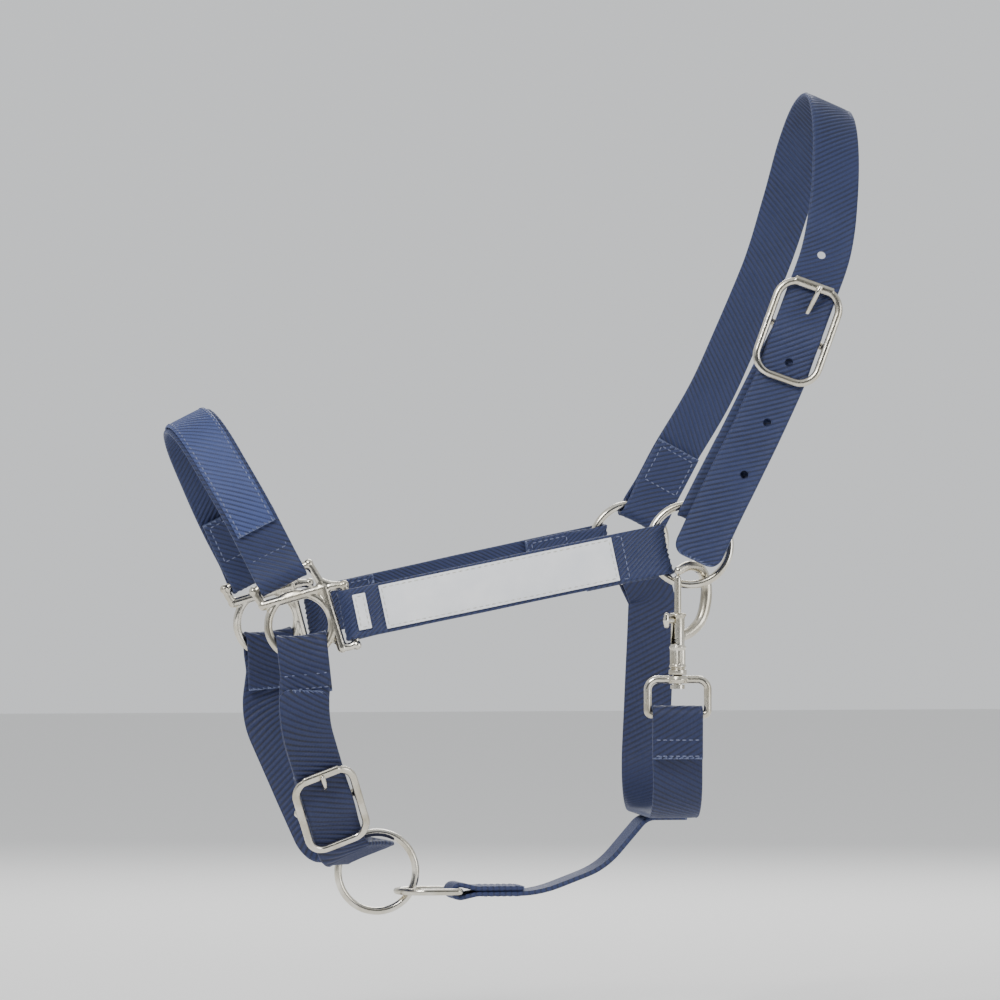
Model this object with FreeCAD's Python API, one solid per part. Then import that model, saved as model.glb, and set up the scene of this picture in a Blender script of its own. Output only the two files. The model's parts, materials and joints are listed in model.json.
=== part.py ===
import FreeCAD, Part
import math
import os

# Horse headcollar of woven webbing with cast and wire fittings.  Units: mm.
# +X towards the tail, +Z up, the horse's left side at -Y.
# Origin: inner face of the crown strap at the top of the poll, on the middle plane.

V = FreeCAD.Vector

# ---- overall layout ----
ringX, ringY, ringZ = -86.3, -80.0, -222.7
sideYaw = 8.3
sideLean = 7.0
squareH, squareV = -193.6, -40.3
noseRise = 114.0
chinRingX, chinRingZ = -231.0, -387.8
chinBow = 18.0
throatZ = -358.5

# ---- webbing ----
webWidth = 25.0
webThick = 2.4
foldClear = 0.3
plyGap = 0.3
overlap = 24.0
facingThick = 1.6
panelLength, panelWidth, panelThick = 118.0, 22.0, 0.9
tabLength, tabWidth = 6.5, 18.0

# ---- rings and castings ----
ringR, ringWire = 20.0, 2.0
chinRingR, chinRingWire = 19.8, 1.9
castR, castWire = 15.9, 2.1
castWeb = 2.7
crownFrameLength, crownFrameWidth = 53.0, 36.0
chinFrameLength, chinFrameWidth = 45.0, 34.5
frameBar, frameThick = 4.0, 3.4
heelR = 1.8
strapRide = 4.1
strapCrest = 6.6
tongueR = 1.4
holeR = 2.1
linkWire = 1.7
runClear = 0.05

# ---- trigger snap ----
snapTurn = 38.0
snapH = -6.4
hookSeat = 8.1
hookR = 2.5
boltR = 1.7
barrelR = 3.6
pinR = 2.0
boltTravel = 9.0
eyeHalf, eyeDrop, eyeWire = 14.9, 17.5, 2.0

webHalf = webWidth / 2
ply = (webThick + plyGap) / 2


def unit(a):
    return a * (1 / a.Length)


def rad(a):
    return math.radians(a)


def mirrored(a):
    return V(a.x, -a.y, a.z)


# ---- side plane: the near rings, cheek strap and square lie in it ----
sideN = V(-math.sin(rad(sideYaw)) * math.cos(rad(sideLean)),
          -math.cos(rad(sideYaw)) * math.cos(rad(sideLean)),
          math.sin(rad(sideLean)))
sideH = V(math.cos(rad(sideYaw)), -math.sin(rad(sideYaw)), 0)
sideV = sideN.cross(sideH)
ringC = V(ringX, ringY, ringZ)


def side(h, v, n=0.0, origin=ringC):
    return origin + sideH * h + sideV * v + sideN * n


def sideDir(angle):
    return sideH * math.cos(rad(angle)) + sideV * math.sin(rad(angle))


squareC = side(squareH, squareV)


# ---- webbing as a ruled skin through rectangular sections ----
def filletPath(corners):
    rows = []
    for i, (p, r, w) in enumerate(corners):
        if i == 0 or i == len(corners) - 1 or r == 0:
            rows.append((p, w))
            continue
        a = unit(p - corners[i - 1][0])
        b = unit(corners[i + 1][0] - p)
        turn = a.getAngle(b)
        if turn < 0.01:
            rows.append((p, w))
            continue
        m = unit(b - a * a.dot(b))
        start = p - a * (r * math.tan(turn / 2))
        steps = max(2, int(math.ceil(math.degrees(turn) / 15)))
        for k in range(steps + 1):
            t = turn * k / steps
            rows.append((start + a * (r * math.sin(t)) + m * (r * (1 - math.cos(t))), w))
    return rows


def spaced(rows):
    out = [rows[0]]
    for p, w in rows[1:]:
        q, u = out[-1]
        gap = (p - q).Length
        if gap < 0.02:
            continue
        n = int(gap // 14)
        for k in range(1, n + 1):
            t = k / (n + 1)
            out.append((q + (p - q) * t, u + (w - u) * t))
        out.append((p, w))
    return out


def ribbon(rows, thick=webThick, width=webWidth, lift=0.0):
    rows = spaced(rows)
    wires = []
    for i, (p, w) in enumerate(rows):
        t = unit(rows[min(i + 1, len(rows) - 1)][0] - rows[max(i - 1, 0)][0])
        n = unit(t.cross(w))
        w = unit(n.cross(t)) * (width / 2)
        up = n * (lift + thick / 2)
        dn = n * (lift - thick / 2)
        quad = [p - w + up, p + w + up, p + w + dn, p - w + dn]
        wires.append(Part.makePolygon(quad + [quad[0]]))
    return Part.makeLoft(wires, True, True)


def loop(c, s, n, w, barR, depth=0.0, reach=11.0, fold=overlap):
    # from the outer ply round the bar to the inner ply; s points into the strap
    half = barR + foldClear + webThick / 2
    far = depth + reach
    return [(c + s * far + n * ply, 12, w),
            (c + s * (depth + 1) + n * half, 4, w),
            (c - s * half + n * half, half, w),
            (c - s * half - n * half, half, w),
            (c + s * (depth + 1) - n * half, 4, w),
            (c + s * far - n * ply, 12, w),
            (c + s * (far + fold) - n * ply, 0, w)]


def ringDepth(r, wire):
    # the chord under the webbing, plus the wire's slant at the webbing's edge
    chord = math.sqrt(r * r - webHalf * webHalf)
    return r - chord + wire * (r / chord - 1) + 0.35


def ringLoop(centre, s, n, w, r, wire, reach=11.0, fold=overlap):
    depth = ringDepth(r, wire)
    return loop(centre + s * (r - depth), s, n, w, wire, depth, reach, fold)


def back(corners):
    return list(reversed(corners))


# ---- round-wire metal ----
def rod(p, q, r):
    return Part.makeCylinder(r, (q - p).Length, p, q - p)


def ball(p, r):
    return Part.makeSphere(r, p)


def bentRod(points, r):
    body = ball(points[0], r)
    for p, q in zip(points, points[1:]):
        body = body.fuse([rod(p, q, r), ball(q, r)])
    return body.removeSplitter()


def plate(x, y, z, centre, axes, radius, thick, rim):
    # rounded rectangle x by y along the first two axes, thick along the third
    ax, ay, az = axes
    hx, hy = x / 2 - radius, y / 2 - radius
    edges = []
    corners = [(hx, hy, 45), (-hx, hy, 135), (-hx, -hy, 225), (hx, -hy, 315)]
    for i, (cx, cy, a) in enumerate(corners):
        pts = []
        for d in (-45, 0, 45):
            u = cx + radius * math.cos(rad(a + d))
            v = cy + radius * math.sin(rad(a + d))
            pts.append(centre + ax * u + ay * v + az * z)
        edges.append(Part.Arc(*pts).toShape())
        nx, ny, na = corners[(i + 1) % 4]
        u = nx + radius * math.cos(rad(na - 45))
        v = ny + radius * math.sin(rad(na - 45))
        edges.append(Part.makeLine(pts[2], centre + ax * u + ay * v + az * z))
    solid = Part.Face(Part.Wire(edges)).extrude(az * thick)
    if rim:
        solid = solid.makeChamfer(rim, [e for e in solid.Edges
                                        if abs(e.tangentAt(e.FirstParameter).dot(az)) < 0.5])
    return solid


parts = {}

# ---- side rings ----
parts["left_side_ring"] = Part.makeTorus(ringR, ringWire, ringC, sideN)

# ---- cast square: round eye, two slots and their bars ----
noseW = sideDir(27.0)
noseS = sideDir(117.0)
cheekS = unit(ringC - squareC)
cheekW = unit(cheekS.cross(sideN))
castTop = side(squareH - 9.5, squareV + 23.9)
castRear = squareC + cheekS * 25.5
chinTilt = 20.7
chinDrop = 6.0
chinS = sideDir(-90 + chinDrop)
chinW = sideDir(chinDrop)
barHalf = webHalf + castWire + 0.8


def cast(h, v):
    return side(squareH + h, squareV + v)


topA = castTop - noseW * barHalf
topB = castTop + noseW * barHalf
rearA = castRear + cheekW * barHalf
rearB = castRear - cheekW * barHalf
if rearA.z < rearB.z:
    rearA, rearB = rearB, rearA
innerA, innerB, innerC = cast(-18.4, 9.8), cast(11.6, 18.6), cast(20.7, -11.2)
square = Part.makeTorus(castR, castWire, squareC, sideN)
for line, thick in (([innerA, innerB, innerC], castWeb),
                    ([innerA, topA, topB, innerB, rearA, rearB, innerC], castWire)):
    square = square.fuse(bentRod(line, thick))
parts["left_square"] = square.removeSplitter()

# ---- cheek strap, its blank panel and tab ----
cheekN = sideN
front = ringWire + foldClear + webThick / 2


def flatLoop(c, s, n, w, barR, depth, reach):
    # the outer ply stays flat and the inner ply comes up to it
    half = barR + foldClear + webThick / 2
    inner = front - 2 * ply
    far = depth + reach
    return [(c + s * far + n * front, 0, w),
            (c - s * half + n * front, half, w),
            (c - s * half - n * half, half, w),
            (c + s * (depth + 1) - n * half, 4, w),
            (c + s * far + n * inner, 8, w),
            (c + s * (far + overlap) + n * inner, 0, w)]


cheekRun = (ringC - squareC).Length
ringSag = ringDepth(ringR, ringWire)
cheekRows = back(flatLoop(ringC - cheekS * (ringR - ringSag), -cheekS, cheekN, cheekW,
                          ringWire, ringSag, 11.0))
cheekRows += flatLoop(castRear, cheekS, cheekN, cheekW, castWire, 0.0, 10.0)
parts["left_cheek_strap"] = ribbon(filletPath(cheekRows))
panelMid = ringC - cheekS * 97.0
faceN = front + webThick / 2 + 0.1
axesCheek = (cheekS, unit(cheekN.cross(cheekS)), cheekN)
parts["left_cheek_panel"] = plate(panelLength, panelWidth, faceN, panelMid, axesCheek, 1.2, panelThick, 0)
tabMid = ringC - cheekS * 166.5
parts["left_cheek_tab"] = plate(tabLength, tabWidth, faceN, tabMid, axesCheek, 0.8, panelThick, 0)

# mirrored pieces of the far side
for name in ("side_ring", "square", "cheek_strap", "cheek_panel", "cheek_tab"):
    parts["right_" + name] = parts["left_" + name].mirror(V(0, 0, 0), V(0, 1, 0))

# ---- noseband and its facing ----
noseTilt = 27.0
noseD = V(-math.sin(rad(noseTilt)), 0, math.cos(rad(noseTilt)))
noseMidW = V(math.cos(rad(noseTilt)), 0, math.sin(rad(noseTilt)))
noseBase = V(castTop.x, 0, castTop.z)


def nose(y, q):
    return noseBase + V(0, y, 0) + noseD * q


noseLoop = loop(castTop, noseS, sideN, noseW, castWire, 0.0, 11.0)
half = [(nose(-50.5, 40), 60, noseMidW), (nose(-28, noseRise - 32), 36, noseMidW)]
arch = half + [(nose(0, noseRise - 25), 50, noseMidW)]
arch += [(mirrored(p), r, w) for p, r, w in back(half)]
farLoop = [(mirrored(p), r, mirrored(w)) for p, r, w in noseLoop]
noseRows = filletPath(back(noseLoop) + arch + farLoop)
parts["noseband"] = ribbon(noseRows)
facingRows = [r for r in spaced(filletPath([noseLoop[0]] + arch + [farLoop[0]]))]
facingRows = facingRows[1:-1]
outside = 1 if (facingRows[1][0] - facingRows[0][0]).cross(noseMidW).dot(V(0, -1, 0)) > 0 else -1
parts["noseband_facing"] = ribbon(facingRows, facingThick, 21.0,
                                  outside * (webThick / 2 + 0.3 + facingThick / 2))

# ---- crown buckle: billet from the ring, frame and tongue ----
buckleC = side(54.1, 105.7)
billetS = unit(buckleC - ringC)
billetW = unit(billetS.cross(sideN))
frameTurn = 20.0
frameS = sideDir(90 - frameTurn)
frameW = unit(frameS.cross(sideN))


def billet(ringCorners, barC, s, n, w):
    return ribbon(filletPath(back(ringCorners) + loop(barC, -s, n, w, heelR)))


def buckleFrame(c, s, w, n, heelW, length, width):
    outer = plate(width, length, strapRide + webThick / 2 + 0.5, c, (w, s, n), 7.0, frameThick, 0.9)
    inner = plate(width - 2 * frameBar, length - 2 * frameBar, strapRide, c, (w, s, n), 4.0,
                  3 * frameThick, 0)
    body = outer.cut(inner)
    lugX = width / 2 - frameBar / 2
    low = -heelR
    for k in (-1, 1):
        foot = c + heelW * (k * lugX) + n * low
        body = body.fuse(Part.makeCylinder(frameBar / 2 - 0.2, strapRide + webThick / 2 + 2.0 - low, foot, n))
    return body.fuse(rod(c - heelW * lugX, c + heelW * lugX, heelR))


def tonguePath(c, s, n, length):
    tip = length / 2 - frameBar / 2 + 0.5
    top = strapRide + webThick / 2 + 0.5 + frameThick + tongueR + 0.1
    return [c + s * 3.4 + n * 0.8, c + s * 9.0 + n * 3.2, c + s * (tip - 6.0) + n * (top - 1.3),
            c + s * (tip - 3.0) + n * top, c + s * tip + n * top]


def tongue(c, s, w, n, length):
    eye = Part.makeCylinder(heelR + runClear + 1.5, 4.4, c - w * 2.2, w)
    body = eye.fuse(bentRod(tonguePath(c, s, n, length), tongueR))
    body = body.cut(Part.makeCylinder(heelR + runClear, 12, c - w * 6, w))
    return body.removeSplitter()


def tongueRoom(c, s, w, n, length):
    eye = Part.makeCylinder(heelR + runClear + 2.0, 5.6, c - w * 2.8, w)
    return eye.fuse(bentRod(tonguePath(c, s, n, length), tongueR + 0.9))


crownRing = ringLoop(ringC, billetS, sideN, billetW, ringR, ringWire)
crownTongueRoom = tongueRoom(buckleC, billetS, billetW, sideN, crownFrameLength)
parts["crown_billet"] = billet(crownRing, buckleC, billetS, sideN, billetW).cut(crownTongueRoom)
parts["crown_buckle_frame"] = buckleFrame(buckleC, frameS, frameW, sideN, billetW,
                                          crownFrameLength, crownFrameWidth)
parts["crown_buckle_tongue"] = tongue(buckleC, billetS, billetW, sideN, crownFrameLength)

# ---- crown strap: tail, buckle, over the poll, sewn loop on the far ring ----
tailW = sideDir(-26.0)
topW = V(math.cos(rad(23.0)), 0, -math.sin(rad(23.0)))


def stackOffsets():
    return [(-22, strapRide), (-13, strapRide), (-9, 4.9), (-5, 6.1), (0, strapCrest), (5, 6.1),
            (9, 4.9), (13, strapRide), (22, strapRide)]


crown = [(side(1.7, -8.6, 6.4), tailW), (side(9.5, 8.0, 6.4), tailW), (side(15.2, 19.8, 6.4), tailW),
         (side(19.6, 28.6, 6.2), tailW), (side(26.5, 42.5, 4.6), tailW), (side(34.5, 58.5, strapRide), tailW)]
crown += [(buckleC + frameS * t + sideN * n, frameW) for t, n in stackOffsets()]
crown += [(V(-14.4, -68.2, -76.0), frameW), (V(-8.2, -58.5, -49.0), topW), (V(-3.6, -42.0, -20.5), topW),
          (V(-1.0, -21.0, -3.6), topW), (V(0, 0, webThick / 2), topW)]
right = [(V(-1.0, 21.0, -3.6), topW), (V(-3.6, 42.0, -20.5), topW), (V(-8.2, 58.5, -49.0), topW),
         (V(-16.5, 68.2, -80.0), mirrored(frameW)), (mirrored(side(54.1, 105.7, ply)), mirrored(frameW)),
         (mirrored(side(42.0, 78.0, ply)), mirrored(tailW)),
         (mirrored(ringC + billetS * 50 + sideN * ply), mirrored(billetW)),
         (mirrored(ringC + billetS * 38 + sideN * ply), mirrored(billetW))]
crown += right


def splineRows(rows, step):
    curve = Part.BSplineCurve()
    curve.interpolate([p for p, w in rows])
    knots = [curve.parameter(p) for p, w in rows]
    out = []
    for i in range(len(rows) - 1):
        n = max(1, int(round((rows[i + 1][0] - rows[i][0]).Length / step)))
        for k in range(n):
            t = k / n
            w0, w1 = rows[i][1], rows[i + 1][1]
            if w0.dot(w1) < 0:
                w1 = w1 * -1
            out.append((curve.value(knots[i] + (knots[i + 1] - knots[i]) * t), w0 + (w1 - w0) * t))
    out.append(rows[-1])
    return out


def aligned(rows):
    out = [rows[0]]
    for p, w in rows[1:]:
        out.append((p, w if w.dot(out[-1][1]) > 0 else w * -1))
    return out


crownEnd = filletPath([(mirrored(ringC + billetS * 38 + sideN * ply), 0, mirrored(billetW))]
                      + [(mirrored(p), r, mirrored(w)) for p, r, w in crownRing])
crownRows = aligned(splineRows(crown, 6.0) + crownEnd[1:])
crownBody = ribbon(crownRows).cut(crownTongueRoom)
for h, v in ((27.0, 34.3), (38.7, 60.6), (49.8, 90.8), (67.0, 146.0)):
    crownBody = crownBody.cut(Part.makeCylinder(holeR, 24, side(h, v, -6), sideN))
parts["crown_strap"] = crownBody

# ---- chin: billet, buckle, strap and its ring ----
chinD = V(-math.sin(rad(chinTilt)), 0, math.cos(rad(chinTilt)))
chinMidW = V(math.cos(rad(chinTilt)), 0, math.sin(rad(chinTilt)))
chinRide = math.sqrt((chinRingR - chinRingWire - 0.35) ** 2 - webHalf ** 2) - webThick / 2
chinRingC = V(chinRingX, 0, chinRingZ)
chinBase = chinRingC + chinD * chinRide


def chin(y, q):
    return chinBase + V(0, y, 0) + chinD * q


chinLean = 27.0
chinUp = V(0, -math.sin(rad(chinLean)), 0) + chinD * math.cos(rad(chinLean))
chinOut = V(0, -math.cos(rad(chinLean)), 0) - chinD * math.sin(rad(chinLean))
chinBuckleC = chin(-41, 28) - V(chinBow, 0, 0)
chinSquare = ringLoop(squareC, chinS, sideN, chinW, castR, castWire, 9.0, 9.0)
elbow = chinBuckleC + chinUp * 49.5


def elbowAt(lift):
    return elbow + (sideN + chinOut) * (lift / (1 + sideN.dot(chinOut)))


chinTongueRoom = tongueRoom(chinBuckleC, chinUp, chinMidW, chinOut, chinFrameLength)
chinHeel = loop(chinBuckleC, chinUp, chinOut, chinMidW, heelR, 0.0, 11.0, 9.0)
chinRows = back(chinSquare) + [(elbowAt(ply), 30, chinMidW)] + chinHeel
parts["chin_billet"] = ribbon(filletPath(chinRows)).cut(chinTongueRoom)
parts["chin_buckle_frame"] = buckleFrame(chinBuckleC, chinUp, chinMidW, chinOut, chinMidW,
                                         chinFrameLength, chinFrameWidth)
parts["chin_buckle_tongue"] = tongue(chinBuckleC, chinUp, chinMidW, chinOut, chinFrameLength)

tail = [(elbow + unit(squareC + chinS * 25 - elbow) * 15 + sideN * strapRide, 0,
         chinMidW * 0.7 + chinW * 0.3),
        (elbowAt(strapRide), 32, chinMidW),
        (chinBuckleC + chinUp * 22 + chinOut * strapRide, 0, chinMidW)]
stack = [(chinBuckleC + chinUp * t + chinOut * n, chinMidW) for t, n in reversed(stackOffsets())]
farChin = [(mirrored(p), r, mirrored(w)) for p, r, w in chinSquare]
bowC = chinBuckleC - chinUp * 29 + chinOut * strapRide
under = [(chinBuckleC - chinUp * 22 + chinOut * strapRide, 0, chinMidW), (bowC, 12, chinMidW),
         (chin(-9.5, 0), 16, chinMidW), (chin(9.5, 0), 16, chinMidW), (mirrored(bowC), 18, chinMidW),
         (mirrored(elbowAt(ply)), 30, chinMidW)]
chinAll = aligned(filletPath(tail)[:-1] + splineRows(stack, 6.0) + filletPath(under + farChin)[1:])
parts["chin_strap"] = ribbon(chinAll).cut(chinTongueRoom)
parts["chin_ring"] = Part.makeTorus(chinRingR, chinRingWire, chinRingC, V(0, 1, 0))

# ---- connector: link through the chin ring, and its strap ----
linkX, linkZ = -190.6, -397.6
linkNose = -219.5
linkHalf = webHalf + linkWire + 0.6
linkBar = V(linkX, 0, linkZ)
bendX = linkNose + linkHalf
bowEnds = [V(linkX, -linkHalf, linkZ), V(bendX, -linkHalf, linkZ), V(bendX, linkHalf, linkZ),
           V(linkX, linkHalf, linkZ)]
bowPath = Part.Wire([Part.makeLine(bowEnds[0], bowEnds[1]),
                     Part.Arc(bowEnds[1], V(linkNose, 0, linkZ), bowEnds[2]).toShape(),
                     Part.makeLine(bowEnds[2], bowEnds[3])])
bowRound = Part.Wire([Part.makeCircle(linkWire, bowEnds[0], V(-1, 0, 0))])
link = bowPath.makePipeShell([bowRound], True, True)
link = link.fuse(bentRod([bowEnds[0], bowEnds[3]], linkWire + 0.15))
parts["connector_link"] = link
across = V(0, 1, 0)
sewZ = throatZ - webThick - 0.3
linkLoop = loop(linkBar, V(1, 0, 0), V(0, 0, -1), across, linkWire, 0.0, 9.0)
run = [(V(-150, 0, linkZ - ply), 60, across), (V(-116, 0, -386.0), 40, across),
       (V(-94.5, 0, sewZ), 9, across), (V(-74, 0, sewZ), 0, across)]
parts["connector_strap"] = ribbon(filletPath(back(linkLoop) + run))

# ---- trigger snap hanging on the near ring ----
turned = FreeCAD.Rotation(V(0, 0, 1), snapTurn)
snapP = turned.multVec(sideH)
snapQ = V(0, 0, 1).cross(snapP)
wireH = snapH + hookSeat * math.cos(rad(snapTurn))
wireP = side(wireH, -math.sqrt(ringR ** 2 - wireH ** 2))
axis = wireP - snapP * hookSeat
up = V(0, 0, 1)


def snap(p, z):
    return axis + snapP * p + up * z


hook = [snap(0, -26), snap(8.2, -23.5), snap(14.9, -18), snap(18.2, -9.5), snap(18.7, 0), snap(15.2, 7.4),
        snap(7.6, 9.4), snap(0.6, 7.0)]
body = bentRod(hook, hookR)
body = body.fuse([Part.makeCylinder(barrelR, 30, snap(0, -44), up),
                  Part.makeCylinder(barrelR + 0.9, 2.6, snap(0, -44.6), up)])
body = body.cut(Part.makeCylinder(boltR + runClear, 30, snap(0, -40), up))
slot = Part.makeBox(10, 3.8, 14.2, V(-10, -1.9, 0))
slot.Placement = FreeCAD.Placement(snap(0, -29.4), FreeCAD.Rotation(V(1, 0, 0), snapP))
body = body.cut(slot)
body = body.fuse(Part.makeCylinder(pinR, 7, snap(0, -50.6), up))
parts["snap_body"] = body.removeSplitter()
bolt = Part.makeCylinder(boltR, 27 + 4.0, snap(0, -27), up)
bolt = bolt.fuse([rod(snap(0, -17.6), snap(-7.0, -17.6), 1.5),
                  rod(snap(-6.2, -17.6), snap(-8.6, -17.6), 3.3)])
parts["snap_bolt"] = bolt.removeSplitter()
spring = Part.makeCylinder(boltR - 0.1, 12.6, snap(0, -39.8), up)
parts["snap_spring"] = spring.cut(Part.makeCylinder(boltR - 0.8, 12.6, snap(0, -39.8), up))
rivet = Part.makeCylinder(3.6, 2.0, snap(0, -51.6), up)
parts["snap_rivet"] = rivet.cut(Part.makeCylinder(pinR, 2.0, snap(0, -51.6), up))
eyeTop = -47.0
eyeLow = eyeTop - eyeDrop


def eyePoint(k, z):
    return axis + sideH * (k * eyeHalf) + up * z


eye = bentRod([eyePoint(-1, eyeTop), eyePoint(1, eyeTop), eyePoint(1, eyeLow), eyePoint(-1, eyeLow),
               eyePoint(-1, eyeTop)], eyeWire)
eye = eye.fuse(Part.makeCylinder(4.6, 4.0, snap(0, eyeTop - 2.0), up))
parts["snap_eye"] = eye.cut(Part.makeCylinder(pinR + runClear, 12, snap(0, eyeTop - 5), up)).removeSplitter()

# ---- throat strap from the snap's eye under the jaw to the far ring ----
eyeBar = axis + up * eyeLow
level = unit(V(sideN.x, sideN.y, 0))
nearThroat = loop(eyeBar, V(0, 0, -1), level * -1, sideH, eyeWire, 0.0, 10.0, 12.0)
throatAngle = 296.0
farS = sideDir(throatAngle)
farW = sideDir(throatAngle + 90)
farRing = ringLoop(ringC, farS, sideN * -1, farW, ringR, ringWire, 11.0, 12.0)
farThroat = [(mirrored(p), r, mirrored(w)) for p, r, w in farRing]
throatMid = [(V(-91, -74, throatZ), 28, V(1, 0, 0)), (V(-80, 74, throatZ), 40, V(1, 0, 0))]
throat = aligned(filletPath(back(nearThroat) + throatMid + farThroat))
parts["throat_strap"] = ribbon(throat)

os.makedirs("parts", exist_ok=True)
for name in sorted(parts):
    shape = parts[name]
    if shape.ShapeType == "Compound" and len(shape.Solids) == 1:
        shape = shape.Solids[0]
    print(name, len(shape.Solids), shape.isValid(), round(shape.Volume, 1))
    shape.exportStep("parts/" + name + ".step")
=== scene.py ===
import bpy
import json
import math
import random
from mathutils import Matrix, Vector


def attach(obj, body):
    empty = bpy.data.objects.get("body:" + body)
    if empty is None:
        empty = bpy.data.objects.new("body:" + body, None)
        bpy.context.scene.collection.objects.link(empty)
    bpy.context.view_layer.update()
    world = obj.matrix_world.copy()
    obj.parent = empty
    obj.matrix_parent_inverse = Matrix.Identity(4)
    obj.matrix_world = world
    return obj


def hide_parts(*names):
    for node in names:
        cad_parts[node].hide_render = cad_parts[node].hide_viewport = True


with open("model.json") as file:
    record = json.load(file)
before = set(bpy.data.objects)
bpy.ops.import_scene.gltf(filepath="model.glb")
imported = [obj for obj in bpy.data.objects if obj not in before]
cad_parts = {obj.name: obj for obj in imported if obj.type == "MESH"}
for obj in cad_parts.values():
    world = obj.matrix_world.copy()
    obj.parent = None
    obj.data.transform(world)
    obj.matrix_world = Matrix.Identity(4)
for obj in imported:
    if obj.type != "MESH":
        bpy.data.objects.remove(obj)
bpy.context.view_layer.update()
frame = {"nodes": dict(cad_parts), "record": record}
nodes = frame["nodes"]
bpy.ops.object.select_all(action="DESELECT")
random.seed(7)
print("frame loaded")

# every length below is in millimetres until a mesh is made
mm = 0.001


def rad(angle):
    return math.radians(angle)


def toward(low, high, t):
    return low + (high - low) * t


def smooth(t):
    t = max(0.0, min(1.0, t))
    return t * t * (3 - 2 * t)


def hexColor(text):
    # an sRGB hex value as the linear colour that the shader wants
    parts = [int(text[i:i + 2], 16) / 255 for i in (1, 3, 5)]
    return tuple([p / 12.92 if p <= 0.04045 else ((p + 0.055) / 1.055) ** 2.4 for p in parts] + [1.0])


def addNode(material, kind, inputs=None, links=None, **settings):
    node = material.node_tree.nodes.new(kind)
    for key, value in settings.items():
        setattr(node, key, value)
    for key, value in (inputs or {}).items():
        node.inputs[key].default_value = value
    for key, socket in (links or {}).items():
        material.node_tree.links.new(socket, node.inputs[key])
    return node


def newMaterial(name):
    material = bpy.data.materials.new(name)
    material.use_nodes = True
    return material, material.node_tree.nodes["Principled BSDF"]


def colorRamp(material, source, stops):
    ramp = addNode(material, "ShaderNodeValToRGB", links={0: source})
    while len(ramp.color_ramp.elements) < len(stops):
        ramp.color_ramp.elements.new(0.5)
    for element, (position, color) in zip(ramp.color_ramp.elements, stops):
        element.position = position
        element.color = hexColor(color) if isinstance(color, str) else (color, color, color, 1)
    return ramp.outputs["Color"]


def join(material, socket, target):
    material.node_tree.links.new(socket, target)


# places and turns of the headcollar, the same as in its CAD model
layout = {
    "ring": (-86.3, -80.0, -222.7), "yaw": 8.3, "lean": 7.0,
    "square": (-193.6, -40.3), "noseRise": 114.0, "noseTilt": 27.0, "noseTurn": 27.0,
    "chinRing": (-231.0, 0.0, -387.8), "chinTilt": 20.7, "chinLean": 27.0, "chinBow": 18.0,
    "chinDrop": 6.0,
    "throatZ": -358.5, "throatTurn": 296.0, "buckle": (54.1, 105.7), "frameTurn": 20.0,
}
web = {"width": 25.0, "thick": 2.4, "clear": 0.3, "gap": 0.3, "fold": 24.0, "ride": 4.1, "crest": 6.6}
wire = {"ring": 20.0, "ringWire": 2.0, "cast": 15.9, "castWire": 2.1, "chinRing": 19.8, "chinWire": 1.9,
        "heel": 1.8, "link": 1.7, "eye": 2.0, "room": 0.35}
half = web["width"] / 2
ply = (web["thick"] + web["gap"]) / 2


def mirrored(a):
    return Vector((a.x, -a.y, a.z))


yaw, lean = rad(layout["yaw"]), rad(layout["lean"])
sideN = Vector((-math.sin(yaw) * math.cos(lean), -math.cos(yaw) * math.cos(lean), math.sin(lean)))
sideH = Vector((math.cos(yaw), -math.sin(yaw), 0))
sideV = sideN.cross(sideH)
ringC = Vector(layout["ring"])


def side(h, v, n=0.0):
    return ringC + sideH * h + sideV * v + sideN * n


def sideDir(angle):
    return sideH * math.cos(rad(angle)) + sideV * math.sin(rad(angle))


squareC = side(*layout["square"])


def filletPath(corners):
    rows = []
    for i, (p, r, w) in enumerate(corners):
        if i == 0 or i == len(corners) - 1 or r == 0:
            rows.append((p, w))
            continue
        a = (p - corners[i - 1][0]).normalized()
        b = (corners[i + 1][0] - p).normalized()
        turn = a.angle(b)
        if turn < 0.01:
            rows.append((p, w))
            continue
        m = (b - a * a.dot(b)).normalized()
        start = p - a * (r * math.tan(turn / 2))
        steps = max(2, int(math.ceil(math.degrees(turn) / 5)))
        for k in range(steps + 1):
            t = turn * k / steps
            rows.append((start + a * (r * math.sin(t)) + m * (r * (1 - math.cos(t))), w))
    return rows


def loop(c, s, n, w, barR, depth=0.0, reach=11.0, fold=web["fold"]):
    # outer ply, round the bar, inner ply; s points into the strap
    turn = barR + web["clear"] + web["thick"] / 2
    far = depth + reach
    return [(c + s * far + n * ply, 12, w), (c + s * (depth + 1) + n * turn, 4, w),
            (c - s * turn + n * turn, turn, w), (c - s * turn - n * turn, turn, w),
            (c + s * (depth + 1) - n * turn, 4, w), (c + s * far - n * ply, 12, w),
            (c + s * (far + fold) - n * ply, 0, w)]


def ringDepth(r, thick):
    chord = math.sqrt(r * r - half * half)
    return r - chord + thick * (r / chord - 1) + wire["room"]


def ringLoop(centre, s, n, w, r, thick, reach=11.0, fold=web["fold"]):
    depth = ringDepth(r, thick)
    return loop(centre + s * (r - depth), s, n, w, thick, depth, reach, fold)


def flatLoop(c, s, n, w, barR, depth, reach):
    # the outer ply stays flat and the inner ply comes up to it
    front = wire["ringWire"] + web["clear"] + web["thick"] / 2
    turn = barR + web["clear"] + web["thick"] / 2
    inner = front - 2 * ply
    far = depth + reach
    return [(c + s * far + n * front, 0, w), (c - s * turn + n * front, turn, w),
            (c - s * turn - n * turn, turn, w), (c + s * (depth + 1) - n * turn, 4, w),
            (c + s * far + n * inner, 8, w), (c + s * (far + web["fold"]) + n * inner, 0, w)]


def back(rows):
    return list(reversed(rows))


def acrossAll(corners):
    return [(mirrored(p), r, mirrored(w)) for p, r, w in corners]


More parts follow.
